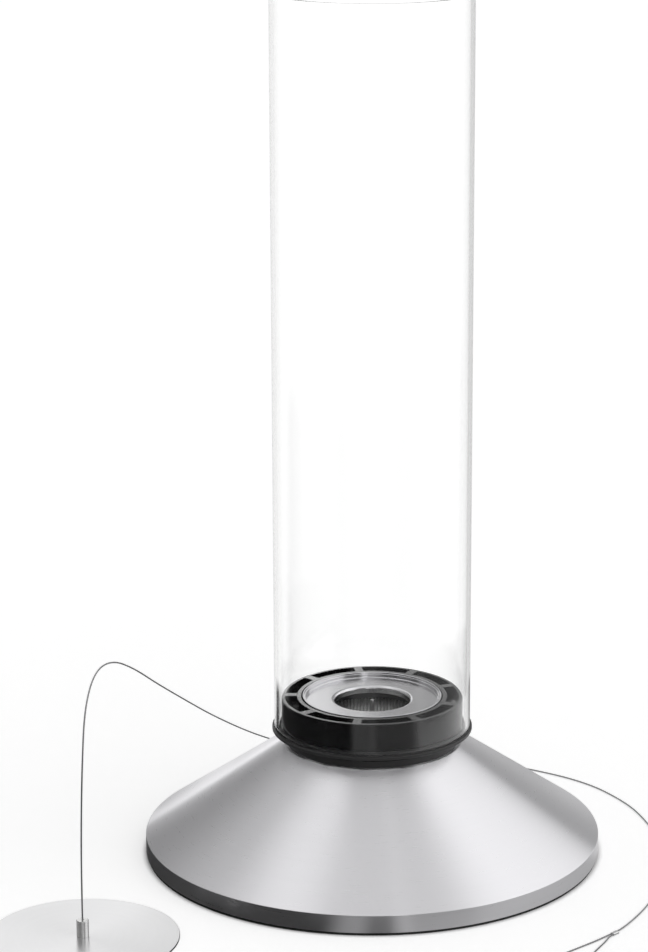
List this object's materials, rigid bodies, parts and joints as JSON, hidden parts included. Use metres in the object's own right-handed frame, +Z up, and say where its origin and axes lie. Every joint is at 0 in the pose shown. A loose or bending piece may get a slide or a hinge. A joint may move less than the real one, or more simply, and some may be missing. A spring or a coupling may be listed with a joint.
{
  "type": "tabletop spirit fireplace",
  "caption": "Tabletop spirit fireplace: steel cone with a lift-out burner, black swirl ring, open glass tube on a flange, and an extinguisher disc on a wire rope.",
  "frame": {"origin": "on the table at the centre of the cone's foot", "axes": "+Z up along the glass tube's axis; -Y is the front, the side the picture is taken from; +X right"},
  "size_m": [0.397, 0.3614, 0.5187],
  "materials": {
    "cone_steel": "brushed round its axis",
    "plate_steel": "zinc plated, satin",
    "screw_steel": "satin",
    "foot_rubber": "matte",
    "dish_steel": "satin",
    "collar_black": "satin black",
    "ring_black": "gloss black",
    "gasket_silicone": "black, matte",
    "clear_glass": "clear, polished",
    "can_steel": "drawn, satin",
    "lid_steel": "turned, bright",
    "fleece_grey": "felted, sooted, matte",
    "mesh_steel": "flat wire on cross wires",
    "mesh_ring_steel": "satin",
    "pin_steel": "satin",
    "disc_steel": "fine brushed",
    "ferrule_steel": "turned",
    "rope_steel": "stranded wire",
    "sleeve_metal": "crimped, satin"
  },
  "bodies": {
    "base": {"cone_shell": "cone_steel", "rim_tabs": "plate_steel", "base_plate": "plate_steel", "plate_screws": "screw_steel", "foot_ring": "foot_rubber", "burner_dish": "dish_steel", "dish_screws": "screw_steel", "stiffening_ring": "plate_steel", "collar": "collar_black", "glass_gasket": "gasket_silicone", "swirl_ring": "ring_black", "ring_screws": "screw_steel", "spring_washers": "screw_steel"},
    "chimney": {"glass_tube": "clear_glass"},
    "burner": {"burner_can": "can_steel", "burner_lid": "lid_steel", "wick_fleece": "fleece_grey", "mesh_screen": "mesh_steel", "mesh_ring": "mesh_ring_steel", "centre_pin": "pin_steel", "pin_nut": "pin_steel"},
    "extinguisher": {"extinguisher_disc": "disc_steel", "ferrule_screw": "screw_steel", "rope_ferrule": "ferrule_steel", "wire_rope": "rope_steel", "rope_loop": "rope_steel", "crimp_sleeve": "sleeve_metal"}
  },
  "joints": [
    {"name": "glass_lift", "type": "slide", "parent": "base", "child": "chimney", "axis": [0, 0, 1], "range_m": [0, 0.1]},
    {"name": "burner_lift", "type": "slide", "parent": "base", "child": "burner", "axis": [0, 0, 1], "range_m": [0, 0.1]},
    {"name": "extinguisher_lift", "type": "slide", "parent": "base", "child": "extinguisher", "axis": [0, 0, 1], "range_m": [0, 0.15]}
  ]
}
